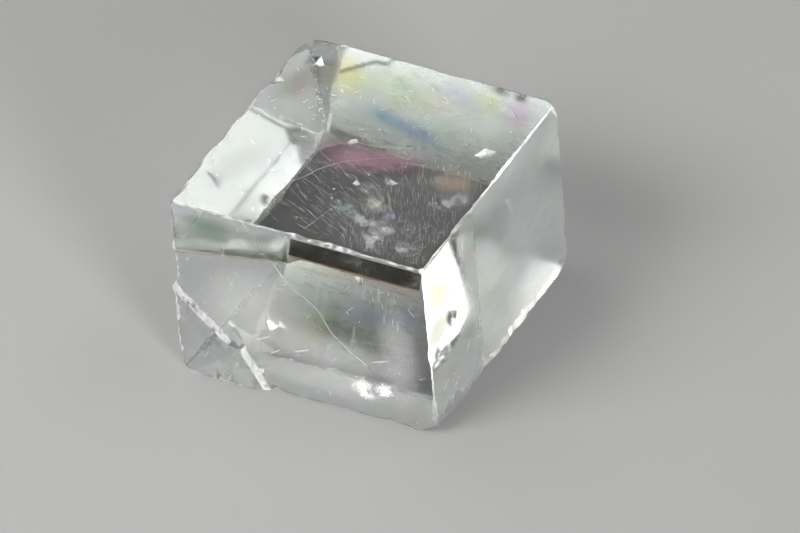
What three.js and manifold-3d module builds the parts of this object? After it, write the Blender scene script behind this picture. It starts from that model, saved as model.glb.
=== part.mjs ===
// A calcite specimen: one clear cleavage rhomb, broken from a larger crystal and lying on a cleavage face.
// Millimetres and degrees, +Z up. +X runs along the front edge towards the near corner, and the origin is
// under the middle of the bounding box, on the face that the rhomb rests on.
import * as THREE from "three";
import { ConvexGeometry } from "three/addons/geometries/ConvexGeometry.js";
import { mergeVertices } from "three/addons/utils/BufferGeometryUtils.js";
import Module from "manifold-3d";

const wasm = await Module();
wasm.setup();

// Driving dimensions: the three edges that leave the near top corner, and calcite's own blunt face angle
// between each two of them.
const FRONT_EDGE = 35;
const SIDE_EDGE = 35.1;
const UPRIGHT_EDGE = 25.3;
const BLUNT_ANGLE = 101.92;

// A layer that stays proud on the low left of the front face: its rise, how far the slope that ends it
// shifts along the front edge and how much of that shift goes downwards too, and how deep it is rooted.
const LEDGE_RISE = 1.0;
const LEDGE_SLOPE = 0.22;
const LEDGE_FALL = 0.8;
const LEDGE_ROOT = 2.5;

// Worn edges: the spacing of the facets along an edge, how far their places vary, and how many facets the
// wear runs past each end.
const FACET_LENGTH = 0.95;
const FACET_JITTER = 0.35;
const FACET_OVERRUN = 1.5;

// The width of a facet, as shares of the reach of its edge: the least, what drifts slowly from facet to
// facet, and what a rare chip adds. DRIFT_HOLD is how slowly it drifts, and CHIP_RARITY how rare chips are.
const WEAR_LEAST = 0.4;
const WEAR_DRIFT = 1.0;
const WEAR_CHIP = 0.5;
const DRIFT_HOLD = 0.65;
const CHIP_RARITY = 3;

// How hollow a facet is across the edge, and the share of a scoop's depth that it takes.
const HOLLOW_LEAST = 0.4;
const HOLLOW_SPREAD = 0.34;
const BITE_LEAST = 0.85;
const BITE_SPREAD = 0.3;

// How far cutters reach past the rhomb: outside a worn edge, past the far edges, outside a broken corner,
// and the spread of a break's plane and of a nick's mouth.
const CLEARANCE = 0.8;
const OVERSHOOT = 3;
const BREAK_TIP = 3.2;
const BREAK_SPREAD = 2.2;
const NICK_SPREAD = 1.5;

// Points closer than this are one.
const MERGE = 1e-4;

// Each worn edge has its own run of chance.
const FIRST_SEED = 71;
const SEED_STEP = 37;

// Directions of the edges from the near top corner: x to the left corner, y to the right corner, z downwards.
const AXES = ["x", "y", "z"];
const blunt = Math.cos(THREE.MathUtils.degToRad(BLUNT_ANGLE));
const skew = Math.sin(THREE.MathUtils.degToRad(BLUNT_ANGLE));
const lean = (blunt - blunt * blunt) / skew;
const ALONG = {
  x: new THREE.Vector3(-1, 0, 0),
  y: new THREE.Vector3(-blunt, skew, 0),
  z: new THREE.Vector3(-blunt, lean, -Math.sqrt(1 - blunt * blunt - lean * lean)),
};
const LENGTH = { x: FRONT_EDGE, y: SIDE_EDGE, z: UPRIGHT_EDGE };
const PAST = { x: FRONT_EDGE + OVERSHOOT, z: UPRIGHT_EDGE + OVERSHOOT };

// A point of the rhomb, by its distances in millimetres along the three edges.
function at({ x = 0, y = 0, z = 0 }) {
  return new THREE.Vector3()
    .addScaledVector(ALONG.x, x)
    .addScaledVector(ALONG.y, y)
    .addScaledVector(ALONG.z, z);
}

// The middle of some points.
function middleOf(points) {
  return points.reduce((sum, point) => sum.add(point), new THREE.Vector3()).divideScalar(points.length);
}

// Repeatable chance, by a linear congruential generator: a seed always gives the same run from 0 to 1.
function chance(seed) {
  let state = seed;
  return () => {
    state = (Math.imul(state, 1664525) + 1013904223) >>> 0;
    return state / 2 ** 32;
  };
}

// A closed three.js geometry as a solid that can be cut.
function solidOf(geometry) {
  const bare = geometry.index ? geometry.toNonIndexed() : geometry.clone();
  bare.deleteAttribute("normal");
  bare.deleteAttribute("uv");
  const merged = mergeVertices(bare, MERGE);
  return new wasm.Manifold(
    new wasm.Mesh({
      numProp: 3,
      vertProperties: new Float32Array(merged.attributes.position.array),
      triVerts: new Uint32Array(merged.index.array),
    }),
  );
}

// The cut solid as a three.js geometry with flat faces.
function geometryOf(solid) {
  const { numProp, numVert, vertProperties, triVerts } = solid.getMesh();
  const positions = new Float32Array(numVert * 3);
  for (let i = 0; i < numVert; i += 1) {
    positions.set(vertProperties.subarray(i * numProp, i * numProp + 3), i * 3);
  }
  const shared = new THREE.BufferGeometry();
  shared.setAttribute("position", new THREE.BufferAttribute(positions, 3));
  shared.setIndex(new THREE.BufferAttribute(new Uint32Array(triVerts), 1));
  const flat = shared.toNonIndexed();
  flat.computeVertexNormals();
  return flat;
}

// A closed skin over rings of equally many points. Each end is a fan from its ring's first point.
function loft(rings) {
  const size = rings[0].length;
  const faces = [];
  for (let r = 0; r + 1 < rings.length; r += 1) {
    for (let k = 0; k < size; k += 1) {
      const next = (k + 1) % size;
      faces.push(rings[r][k], rings[r][next], rings[r + 1][k]);
      faces.push(rings[r][next], rings[r + 1][next], rings[r + 1][k]);
    }
  }
  const last = rings.length - 1;
  for (let k = 1; k + 1 < size; k += 1) {
    faces.push(rings[0][0], rings[0][k + 1], rings[0][k]);
    faces.push(rings[last][0], rings[last][k], rings[last][k + 1]);
  }
  return new THREE.BufferGeometry().setFromPoints(faces);
}

// The same loft with its faces turned outwards, whichever way its rings run.
function loftedSolid(rings) {
  const made = solidOf(loft(rings));
  return made.volume() > 0 ? made : solidOf(loft(rings.map((ring) => [...ring].reverse())));
}

// Worn edges. Each runs along one direction where two faces meet, and reach is how far its wear comes in
// over those faces. Scoops are larger bites: middle and half length along the edge, and depth.
const EDGES = [
  {
    along: "x",
    meets: { y: 0, z: 0 },
    reach: { y: 0.17, z: 0.15 },
    scoops: [[12.3, 4.2, 0.26], [17.2, 1.6, 0.2]],
  },
  {
    along: "x",
    meets: { y: 0, z: 1 },
    reach: { y: 0.3, z: 0.34 },
    scoops: [[6.5, 3.4, 0.5], [12, 3, 0.35], [22.6, 0.9, 0.8]],
  },
  {
    along: "x",
    meets: { y: 1, z: 0 },
    reach: { y: 0.24, z: 0.4 },
    scoops: [[14, 4.5, 0.16], [4.5, 3, 0.2]],
  },
  {
    along: "x",
    meets: { y: 1, z: 1 },
    reach: { y: 0.22, z: 0.24 },
    scoops: [[9, 3, 0.35], [25, 4, 0.3]],
  },
  {
    along: "y",
    meets: { x: 0, z: 0 },
    reach: { x: 0.18, z: 0.14 },
    scoops: [[3.2, 2.2, 0.12], [9.5, 2.6, 0.16], [21, 3, 0.1]],
  },
  {
    along: "y",
    meets: { x: 0, z: 1 },
    reach: { x: 0.36, z: 1.9 },
    scoops: [[4, 4.5, 0.4], [12.5, 4, 0.3], [20, 3, 0.2]],
  },
  {
    along: "y",
    meets: { x: 1, z: 0 },
    reach: { x: 0.42, z: 0.5 },
    scoops: [[2.5, 3, 0.8], [7, 2.2, 0.5], [13.5, 2, 0.35], [19.5, 2.4, 0.45], [26, 2.6, 0.5]],
  },
  {
    along: "y",
    meets: { x: 1, z: 1 },
    reach: { x: 0.22, z: 0.24 },
    scoops: [[8, 3, 0.3], [21, 4, 0.35]],
  },
  {
    along: "z",
    meets: { x: 0, y: 0 },
    reach: { x: 0.14, y: 0.16 },
    scoops: [[13.2, 1.4, 0.2], [22, 2.5, 0.3]],
  },
  {
    along: "z",
    meets: { x: 0, y: 1 },
    reach: { x: 0.2, y: 0.2 },
    scoops: [[4.5, 2.2, 0.15], [20, 3, 0.3]],
  },
  {
    along: "z",
    meets: { x: 1, y: 0 },
    reach: { x: 0.4, y: 0.4 },
    scoops: [[3, 3.4, 0.75], [9.6, 2.2, 0.5], [15, 2.4, 0.35]],
  },
  {
    along: "z",
    meets: { x: 1, y: 1 },
    reach: { x: 0.28, y: 0.24 },
    scoops: [[7, 3, 0.4], [17, 3, 0.3]],
  },
];

// Depth of all the scoops of an edge at one place along it.
function scooped(scoops, place) {
  return scoops.reduce((sum, [middle, half, depth]) => {
    const offset = (place - middle) / half;
    return sum + Math.max(0, depth * (1 - offset * offset));
  }, 0);
}

// What wear takes off one edge: a ragged three-sided bar outside a surface of small hollow facets.
// Front is the place of the front face.
function edgeCutter({ along, meets, reach, scoops }, seed, front) {
  const random = chance(seed);
  const [first, second] = Object.keys(meets);
  const place = (axis) => (meets[axis] ? LENGTH[axis] : axis === "y" ? front : 0);
  const inward = (axis) => (meets[axis] ? -1 : 1);
  const corner = { [first]: place(first), [second]: place(second) };
  const start = along === "y" ? front : 0;
  const count = Math.round((LENGTH[along] - start) / FACET_LENGTH) + 1 + 2 * FACET_OVERRUN;
  const drift = { [first]: 0.5, [second]: 0.5 };
  const rings = [];
  for (let i = 0; i < count; i += 1) {
    const step = i - FACET_OVERRUN + (random() - 0.5) * FACET_JITTER * 2;
    const station = start + step * FACET_LENGTH;
    const bite = scooped(scoops, station);
    const over = (axis) => {
      drift[axis] = DRIFT_HOLD * drift[axis] + (1 - DRIFT_HOLD) * random();
      const share = WEAR_LEAST + WEAR_DRIFT * drift[axis] + WEAR_CHIP * random() ** CHIP_RARITY;
      return reach[axis] * share + bite * (BITE_LEAST + BITE_SPREAD * random());
    };
    const onFirst = over(first);
    const onSecond = over(second);
    const hollow = HOLLOW_LEAST + HOLLOW_SPREAD * random();
    const point = (a, b) =>
      at({
        [along]: station,
        [first]: corner[first] + inward(first) * a,
        [second]: corner[second] + inward(second) * b,
      });
    const past = CLEARANCE / Math.hypot(onFirst, onSecond);
    const middle = [onFirst * hollow, onSecond * hollow];
    rings.push([
      point(-CLEARANCE, -CLEARANCE),
      point(onFirst + (onFirst - middle[0]) * past, -middle[1] * past),
      point(...middle),
      point(-middle[0] * past, onSecond + (onSecond - middle[1]) * past),
    ]);
  }
  return loftedSolid(rings);
}

// Broken corners. Each break is a flat cut, by how far it comes in along the three edges.
const CORNERS = [
  { at: { x: 0, y: 0, z: 0 }, breaks: [{ x: 0.7, y: 0.8, z: 0.7 }] },
  { at: { x: 1, y: 0, z: 0 }, breaks: [{ x: 1.2, y: 2.6, z: 2.4 }, { x: 0.8, y: 1.4, z: 7 }] },
  { at: { x: 0, y: 1, z: 0 }, breaks: [{ x: 2.9, y: 0.8, z: 1.8 }, { x: 0.9, y: 1.9, z: 2.6 }] },
  {
    at: { x: 1, y: 1, z: 0 },
    breaks: [{ x: 1.9, y: 2.2, z: 4 }, { x: 4.6, y: 0.9, z: 3 }, { x: 0.9, y: 5.4, z: 3.4 }],
  },
  {
    at: { x: 0, y: 0, z: 1 },
    breaks: [{ x: 2.8, y: 2.2, z: 2 }, { x: 4.4, y: 1.4, z: 1.1 }, { x: 1.1, y: 3.2, z: 2.4 }],
  },
  { at: { x: 1, y: 0, z: 1 }, breaks: [{ x: 1.6, y: 2, z: 2.2 }, { x: 0.7, y: 1.8, z: 4.6 }] },
  { at: { x: 0, y: 1, z: 1 }, breaks: [{ x: 1.8, y: 1.8, z: 1.7 }, { x: 0.9, y: 1.1, z: 4 }] },
  { at: { x: 1, y: 1, z: 1 }, breaks: [{ x: 2.2, y: 2.6, z: 2.4 }] },
];

// The tetrahedron that one flat break takes off a corner, carried past the faces around it.
function cornerCutter(corner, reach, front) {
  const base = {};
  const tip = {};
  for (const axis of AXES) {
    base[axis] = corner[axis] ? LENGTH[axis] : axis === "y" ? front : 0;
    tip[axis] = base[axis] + (corner[axis] ? BREAK_TIP : -BREAK_TIP);
  }
  const inward = (axis) => (corner[axis] ? -1 : 1);
  const ends = AXES.map((axis) => at({ ...base, [axis]: base[axis] + inward(axis) * reach[axis] }));
  const middle = middleOf(ends);
  const spread = ends.map((end) => end.clone().sub(middle).multiplyScalar(BREAK_SPREAD).add(middle));
  return solidOf(new ConvexGeometry([at(tip), ...spread]));
}

// Nicks: pits with a few corners, struck into a face. Corners are in millimetres along the edges of the face.
const NICKS = [
  { face: "z", depth: 0.3, corners: [[32.7, 29.7], [32.3, 31.1], [31.2, 31.9], [29.9, 30.3], [30.9, 29.2]] },
  { face: "z", depth: 0.35, corners: [[35.4, 26.6], [34.2, 26.4], [32.9, 25.8], [33.6, 24.9], [34.8, 24.3]] },
  { face: "z", depth: 0.25, corners: [[4.5, 21.7], [3.9, 23.5], [2.3, 23.4], [2.6, 22.3], [3.5, 21.6]] },
  { face: "z", depth: 0.2, corners: [[18.8, 18.6], [19.3, 17.9], [20, 17.9], [19.8, 18.8], [19.2, 19.1]] },
  { face: "z", depth: 0.2, corners: [[10.5, 13.4], [11, 12.8], [11.9, 12.9], [11.7, 13.8]] },
  { face: "z", depth: 0.16, corners: [[15.5, 12.2], [14.6, 11.6], [14.9, 11.1], [15.6, 11.3]] },
  { face: "x", depth: 0.35, corners: [[20.3, 4.2], [21.9, 5.4], [22.3, 8.6], [21.4, 6.2]] },
];

// The pit of a nick, carried out past its face so that its rim passes through the corners.
function nickCutter({ face, depth, corners }) {
  const [first, second] = AXES.filter((axis) => axis !== face);
  const rim = corners.map(([a, b]) => at({ [first]: a, [second]: b }));
  const floor = middleOf(rim).addScaledVector(ALONG[face], depth);
  const mouth = rim.map((point) => point.clone().sub(floor).multiplyScalar(NICK_SPREAD).add(floor));
  return solidOf(new ConvexGeometry([floor, ...mouth]));
}

// The whole rhomb with its front face at a given place, worn at every edge and broken at every corner.
function wornRhomb(front) {
  const box = [];
  for (const x of [0, LENGTH.x]) {
    for (const y of [front, LENGTH.y]) {
      for (const z of [0, LENGTH.z]) box.push(at({ x, y, z }));
    }
  }
  let rhomb = solidOf(new ConvexGeometry(box));
  EDGES.forEach((edge, i) => {
    rhomb = rhomb.subtract(edgeCutter(edge, FIRST_SEED + SEED_STEP * i, front));
  });
  for (const corner of CORNERS) {
    for (const reach of corner.breaks) rhomb = rhomb.subtract(cornerCutter(corner.at, reach, front));
  }
  return rhomb;
}

// The line that ends the proud layer, on the front face, from the left edge down to the bottom edge:
// millimetres along the front edge and down.
const LEDGE_LINE = [
  [36.5, 11.6],
  [34.6, 12.6],
  [31.8, 15.4],
  [29.1, 17.9],
  [27.8, 19.1],
  [26, 19.2],
  [25.9, 20.1],
  [24.5, 22.5],
  [23.2, 25],
  [22.2, 27],
];

// The block that the proud layer lies in, with its upper side sloping down to the front face.
function ledgeBlock() {
  const ring = (level, shift) => [
    at({ x: PAST.x, y: level, z: PAST.z }),
    ...LEDGE_LINE.map(([x, z]) => at({ x: x + shift, y: level, z: z + shift * LEDGE_FALL })),
  ];
  return loftedSolid([
    ring(LEDGE_ROOT, -LEDGE_SLOPE),
    ring(0, 0),
    ring(-LEDGE_RISE - CLEARANCE, LEDGE_SLOPE),
  ]);
}

// The specimen: the rhomb with its proud layer and nicks, as clear calcite.
function calciteRhomb() {
  let rhomb = wornRhomb(0).add(wornRhomb(-LEDGE_RISE).intersect(ledgeBlock()));
  for (const nick of NICKS) rhomb = rhomb.subtract(nickCutter(nick));
  const material = new THREE.MeshStandardMaterial({
    color: 0xeef0ee,
    roughness: 0.08,
    metalness: 0,
    transparent: true,
    opacity: 0.35,
  });
  const mesh = new THREE.Mesh(geometryOf(rhomb), material);
  mesh.name = "calcite_rhomb";
  return mesh;
}

const specimen = new THREE.Group();
specimen.name = "calcite_specimen";
const rhomb = calciteRhomb();
rhomb.geometry.computeBoundingBox();
const { min, max } = rhomb.geometry.boundingBox;
rhomb.position.set(-(min.x + max.x) / 2, -(min.y + max.y) / 2, -min.z);
specimen.add(rhomb);

export default specimen;
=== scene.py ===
"""Calcite specimen: a clear cleavage rhomb with bruised edges and veiled faces, on a plain pale floor."""

import math
import random

import bpy
from mathutils import Matrix, Vector, noise


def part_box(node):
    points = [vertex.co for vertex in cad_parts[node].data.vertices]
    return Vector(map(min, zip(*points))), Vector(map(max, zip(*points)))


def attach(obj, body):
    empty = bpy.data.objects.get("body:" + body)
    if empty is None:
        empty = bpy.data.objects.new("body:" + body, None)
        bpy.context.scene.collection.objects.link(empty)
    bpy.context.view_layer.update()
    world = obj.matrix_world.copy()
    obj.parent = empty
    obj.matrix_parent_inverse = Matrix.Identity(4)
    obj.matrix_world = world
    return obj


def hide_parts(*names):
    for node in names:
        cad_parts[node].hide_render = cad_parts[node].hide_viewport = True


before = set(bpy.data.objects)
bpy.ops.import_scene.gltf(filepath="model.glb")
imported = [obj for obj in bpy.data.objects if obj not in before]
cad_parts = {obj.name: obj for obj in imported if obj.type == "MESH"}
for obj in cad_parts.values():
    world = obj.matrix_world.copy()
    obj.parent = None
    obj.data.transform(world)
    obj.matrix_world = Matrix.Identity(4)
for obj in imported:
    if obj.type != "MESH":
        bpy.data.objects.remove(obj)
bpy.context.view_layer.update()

bl_info = {
    "name": "Calcite Specimen",
    "version": (1, 0, 0),
    "blender": (4, 5, 0),
    "location": "3D View > Sidebar > Calcite",
    "description": "Dresses a cleavage rhomb as a clear calcite specimen and sets its stage",
    "category": "Object",
}

MM = 0.001
NODE = "calcite_rhomb"
CRYSTAL = "calcite_crystal"
LOW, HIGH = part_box(NODE)

# The rhomb's own frame: its near top corner, and the directions of its edges from there. "x" runs to the
# left corner, "y" to the right corner and "z" downwards, at calcite's blunt cleavage angle to each other.
BLUNT = math.radians(101.92)
NEAR_CORNER = Vector((11.255 * MM, -13.456 * MM, HIGH.z))
EDGE_LENGTH = {"x": 35.0, "y": 35.1, "z": 25.3}


def edge_directions():
    """The three edge directions, from the blunt angle alone."""
    cosine, sine = math.cos(BLUNT), math.sin(BLUNT)
    lean = (cosine - cosine * cosine) / sine
    fall = math.sqrt(1 - cosine * cosine - lean * lean)
    return {
        "x": Vector((-1, 0, 0)),
        "y": Vector((-cosine, sine, 0)),
        "z": Vector((-cosine, lean, -fall)),
    }


ALONG = edge_directions()

# Outward normals of the six cleavage faces.
FACES = {
    "top": Vector((0, 0, 1)),
    "front": ALONG["x"].cross(ALONG["z"]).normalized(),
    "right": ALONG["z"].cross(ALONG["y"]).normalized(),
}
FACES["bottom"], FACES["back"], FACES["left"] = -FACES["top"], -FACES["front"], -FACES["right"]

# The two edges that a face spans, and the edge that it lies at the far end of, if it does.
SPANS = {
    "top": ("x", "y", None),
    "front": ("x", "z", None),
    "right": ("y", "z", None),
    "left": ("y", "z", "x"),
    "back": ("x", "z", "y"),
    "bottom": ("x", "y", "z"),
}


def on_face(face, first, second, lift=0.0):
    """A point on a face, by millimetres along the two edges that it spans and outwards from it."""
    one, other, far = SPANS[face]
    place = ALONG[one] * first + ALONG[other] * second + FACES[face] * lift
    if far:
        place += ALONG[far] * EDGE_LENGTH[far]
    return NEAR_CORNER + place * MM


TO_EDGES = Matrix((ALONG["x"], ALONG["y"], ALONG["z"])).transposed().inverted()


def in_rhomb(point):
    """A point's place along the rhomb's three edges, in millimetres."""
    return TO_EDGES @ (point - NEAR_CORNER) / MM


class CalciteCrystalSettings(bpy.types.PropertyGroup):
    """Sizes and colours of the crystal's faces and worn edges."""

    grain: bpy.props.FloatProperty(
        name="Grain",
        description="Length above which an edge of the facets on worn edges is halved",
        default=0.34 * MM,
        subtype="DISTANCE",
        unit="LENGTH",
        precision=5,
    )
    roughening: bpy.props.FloatProperty(
        name="Roughening",
        description="How far the corners of the small facets on worn edges are moved",
        default=0.05 * MM,
        subtype="DISTANCE",
        unit="LENGTH",
        precision=5,
    )
    body: bpy.props.FloatVectorProperty(
        name="Body",
        description="Tint of the clear calcite",
        default=(0.988, 0.988, 0.986),
        subtype="COLOR",
        size=3,
    )
    # The underside's colour is painted shade: it darkens the middle of the crystal, where the floor is seen
    # through it.
    underside_shade: bpy.props.FloatVectorProperty(
        name="Underside",
        description="Tint of the duller face that the crystal rests on",
        default=(0.60, 0.60, 0.61),
        subtype="COLOR",
        size=3,
    )
    mist: bpy.props.FloatVectorProperty(
        name="Mist",
        description="Tint of the misty side faces and the milky edges",
        default=(0.82, 0.82, 0.815),
        subtype="COLOR",
        size=3,
    )
    bruise: bpy.props.FloatVectorProperty(
        name="Bruise",
        description="Colour of the crushed white edges, chips and scratches",
        default=(0.90, 0.90, 0.89),
        subtype="COLOR",
        size=3,
    )


class CalciteMarksSettings(bpy.types.PropertyGroup):
    """Numbers and sizes of the scratches, flecks, flakes and cracks."""

    scratches: bpy.props.FloatProperty(
        name="Scratches",
        description="Share of the fine scratches that is laid on the faces",
        default=1.0,
        min=0.0,
        subtype="FACTOR",
    )
    flecks: bpy.props.IntProperty(
        name="Flecks",
        description="Tiny chips on the top face",
        default=90,
        min=0,
    )
    bruises: bpy.props.FloatProperty(
        name="Bruise flakes",
        description="Share of the white flakes that is laid in the bruise on the front face",
        default=1.0,
        min=0.0,
        subtype="FACTOR",
    )
    crack: bpy.props.FloatProperty(
        name="Crack width",
        description="Width of the hairline cracks",
        default=0.07 * MM,
        subtype="DISTANCE",
        unit="LENGTH",
        precision=5,
    )


class CalciteStageSettings(bpy.types.PropertyGroup):
    """Floor and lights."""

    floor: bpy.props.FloatVectorProperty(
        name="Floor",
        description="Colour of the plain floor",
        default=(0.42, 0.42, 0.415),
        subtype="COLOR",
        size=3,
    )
    key: bpy.props.FloatProperty(
        name="Key",
        description="Power of the broad light behind the right of the crystal",
        default=2.1,
        subtype="POWER",
        unit="POWER",
    )
    side: bpy.props.FloatProperty(
        name="Side",
        description="Power of the light behind the left of the crystal",
        default=1.2,
        subtype="POWER",
        unit="POWER",
    )
    left: bpy.props.FloatProperty(
        name="Front left",
        description="Power of the smaller light in front of the left of the crystal",
        default=5.0,
        subtype="POWER",
        unit="POWER",
    )
    right: bpy.props.FloatProperty(
        name="Front right",
        description="Power of the small low light in front of the right of the crystal",
        default=8.0,
        subtype="POWER",
        unit="POWER",
    )
    low: bpy.props.FloatProperty(
        name="Low",
        description="Power of the broad far light in front of the crystal",
        default=7.3,
        subtype="POWER",
        unit="POWER",
    )
    fill: bpy.props.FloatProperty(
        name="Fill",
        description="Power of the weak light in front of the right of the crystal",
        default=0.43,
        subtype="POWER",
        unit="POWER",
    )
    over: bpy.props.FloatProperty(
        name="Over light",
        description="Power of the small soft light over the crystal",
        default=0.2,
        subtype="POWER",
        unit="POWER",
    )


def choose(*objects):
    """Selects these objects alone, with the first one active."""
    if bpy.context.object and bpy.context.object.mode != "OBJECT":
        bpy.ops.object.mode_set(mode="OBJECT")
    bpy.ops.object.select_all(action="DESELECT")
    for chosen in objects:
        chosen.select_set(True)
    bpy.context.view_layer.objects.active = objects[0]


def node(tree, kind, settings=None, inputs=None):
    """A new node with its settings, and with its sockets given a value or linked to another node's output."""
    made = tree.nodes.new(kind)
    for name, value in (settings or {}).items():
        setattr(made, name, value)
    for name, value in (inputs or {}).items():
        if isinstance(value, bpy.types.NodeSocket):
            tree.links.new(value, made.inputs[name])
        else:
            made.inputs[name].default_value = value
    return made


def math_node(tree, operation, first, second):
    """The result of one sum on two values or sockets."""
    return node(tree, "ShaderNodeMath", {"operation": operation}, {0: first, 1: second}).outputs[0]


def ranged(tree, value, least, most):
    """A value from 0 to 1, spread over another range."""
    spread = {"Value": value, "To Min": least, "To Max": most}
    return node(tree, "ShaderNodeMapRange", None, spread).outputs[0]


def colour_ramp(tree, value, stops):
    """A colour by a value's place between the stops of a ramp."""
    ramp = node(tree, "ShaderNodeValToRGB", None, {"Fac": value})
    while len(ramp.color_ramp.elements) < len(stops):
        ramp.color_ramp.elements.new(1.0)
    for element, (place, colour) in zip(ramp.color_ramp.elements, stops):
        element.position = place
        element.color = (*colour, 1)
    return ramp.outputs["Color"]


def new_group(name, inputs, outputs):
    """A shader node group with named sockets, and its two end nodes."""
    group = bpy.data.node_groups.new(name, "ShaderNodeTree")
    for label, kind, default in inputs:
        socket = group.interface.new_socket(label, in_out="INPUT", socket_type=kind)
        if default is not None:
            socket.default_value = default
    for label, kind in outputs:
        group.interface.new_socket(label, in_out="OUTPUT", socket_type=kind)
    return group, group.nodes.new("NodeGroupInput"), group.nodes.new("NodeGroupOutput")


# How far the noise behind the scratches is drawn out into lines, and its value where a scratch is deepest.
SCRATCH_STRETCH = (1.0, 0.03, 0.03)
SCRATCH_DEEPEST = 0.78


def cleavage_scratches():
    """Fine straight scratches that run one way over a face, as a mask and as a height."""
    group, enter, leave = new_group(
        "cleavage_scratches",
        [
            ("Vector", "NodeSocketVector", None),
            ("Turn", "NodeSocketFloat", 0.0),
            ("Spacing", "NodeSocketFloat", 2600.0),
            ("Cover", "NodeSocketFloat", 0.62),
        ],
        [("Mask", "NodeSocketFloat"), ("Height", "NodeSocketFloat")],
    )
    turned = node(
        group,
        "ShaderNodeVectorRotate",
        {"rotation_type": "Z_AXIS"},
        {"Vector": enter.outputs["Vector"], "Angle": enter.outputs["Turn"]},
    )
    drawn = node(
        group,
        "ShaderNodeVectorMath",
        {"operation": "MULTIPLY"},
        {0: turned.outputs[0], 1: SCRATCH_STRETCH},
    )
    lines = node(
        group,
        "ShaderNodeTexNoise",
        {"noise_dimensions": "3D"},
        {"Vector": drawn.outputs[0], "Scale": enter.outputs["Spacing"], "Detail": 2.0, "Roughness": 0.7},
    )
    mask = node(
        group,
        "ShaderNodeMapRange",
        {"interpolation_type": "SMOOTHSTEP"},
        {"Value": lines.outputs[0], "From Min": enter.outputs["Cover"], "From Max": SCRATCH_DEEPEST},
    )
    group.links.new(mask.outputs[0], leave.inputs["Mask"])
    group.links.new(math_node(group, "SUBTRACT", 1.0, mask.outputs[0]), leave.inputs["Height"])
    return group


def cloudiness():
    """Soft uneven cloud, as a mask."""
    group, enter, leave = new_group(
        "cloudiness",
        [
            ("Vector", "NodeSocketVector", None),
            ("Scale", "NodeSocketFloat", 300.0),
            ("Least", "NodeSocketFloat", 0.35),
            ("Most", "NodeSocketFloat", 0.7),
        ],
        [("Mask", "NodeSocketFloat")],
    )
    clouds = node(
        group,
        "ShaderNodeTexNoise",
        {"noise_dimensions": "3D"},
        {
            "Vector": enter.outputs["Vector"],
            "Scale": enter.outputs["Scale"],
            "Detail": 5.0,
            "Roughness": 0.6,
            "Distortion": 0.6,
        },
    )
    mask = node(
        group,
        "ShaderNodeMapRange",
        {"interpolation_type": "SMOOTHSTEP"},
        {
            "Value": clouds.outputs[0],
            "From Min": enter.outputs["Least"],
            "From Max": enter.outputs["Most"],
        },
    )
    group.links.new(mask.outputs[0], leave.inputs["Mask"])
    return group


# Pastel tints that the faces lend to the light, by their place along a ramp.
PASTELS = [
    (0.28, (1.0, 0.82, 0.87)),
    (0.38, (1.0, 0.95, 0.82)),
    (0.46, (0.82, 1.0, 0.89)),
    (0.53, (1.0, 1.0, 1.0)),
    (0.61, (0.85, 0.91, 1.0)),
    (0.71, (0.97, 0.86, 1.0)),
]


def pastel_fringes():
    """Faint drifting pastel tints over a colour."""
    group, enter, leave = new_group(
        "pastel_fringes",
        [
            ("Vector", "NodeSocketVector", None),
            ("Scale", "NodeSocketFloat", 130.0),
            ("Color", "NodeSocketColor", (1, 1, 1, 1)),
            ("Amount", "NodeSocketFloat", 1.0),
        ],
        [("Color", "NodeSocketColor")],
    )
    drift = node(
        group,
        "ShaderNodeTexNoise",
        {"noise_dimensions": "3D"},
        {
            "Vector": enter.outputs["Vector"],
            "Scale": enter.outputs["Scale"],
            "Detail": 4.0,
            "Roughness": 0.62,
            "Distortion": 1.2,
        },
    )
    tint = colour_ramp(group, drift.outputs[0], PASTELS)
    tinted = node(
        group,
        "ShaderNodeMix",
        {"data_type": "RGBA", "blend_type": "MULTIPLY"},
        {"Factor": enter.outputs["Amount"], "A": enter.outputs["Color"], "B": tint},
    )
    group.links.new(tinted.outputs["Result"], leave.inputs["Color"])
    return group


def effect(tree, group, inputs):
    """One of the shared effects, placed in a material with its own values."""
    return node(tree, "ShaderNodeGroup", {"node_tree": group}, inputs)


def new_material(name):
    """An empty node material with its output, its object coordinates and its Principled shader."""
    material = bpy.data.materials.new(name)
    material.use_nodes = True
    tree = material.node_tree
    tree.nodes.clear()
    out = tree.nodes.new("ShaderNodeOutputMaterial")
    shader = tree.nodes.new("ShaderNodeBsdfPrincipled")
    tree.links.new(shader.outputs[0], out.inputs["Surface"])
    place = tree.nodes.new("ShaderNodeTexCoord").outputs["Object"]
    return material, tree, shader, place


def mixed_colour(tree, factor, first, second):
    """A colour between two others."""
    colours = {"Factor": factor, "A": first, "B": second}
    return node(tree, "ShaderNodeMix", {"data_type": "RGBA"}, colours).outputs["Result"]


def bumped(tree, height, distance, strength):
    """A normal from a height."""
    relief = {"Height": height, "Distance": distance, "Strength": strength}
    return node(tree, "ShaderNodeBump", None, relief).outputs["Normal"]


CALCITE_IOR = 1.6
BODY_ABSORPTION = (0.95, 0.97, 0.95, 1)

# Least and greatest roughness of each finish, and what the scratches add to the misty one.
CLEAR_ROUGHNESS = 0.015, 0.2
MISTY_ROUGHNESS = 0.055, 0.07
BRUISED_ROUGHNESS = 0.35, 0.6
FROSTED_ROUGHNESS = 0.4, 0.65
MISTY_SCUFF = 0.08

# The way that the scratches run, and the depth of their relief and of the grains in bruised places.
SCRATCH_TURN = math.radians(-20)
SCRATCH_RELIEF = 0.004 * MM
GRAIN_RELIEF = 0.03 * MM

# How far the mist is drawn out along the side faces.
MIST_STRETCH = (0.4, 0.4, 1.0)

# Below one height a clear face is the underside, which takes a painted shade colour, and below another the
# worn edges are painted darker towards the floor, as painted shade.
UNDERSIDE = 2 * MM
SHADE_BELOW = 5 * MM
SHADE_SHARE = 0.45
DULL_BRUISE = 0.7

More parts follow.
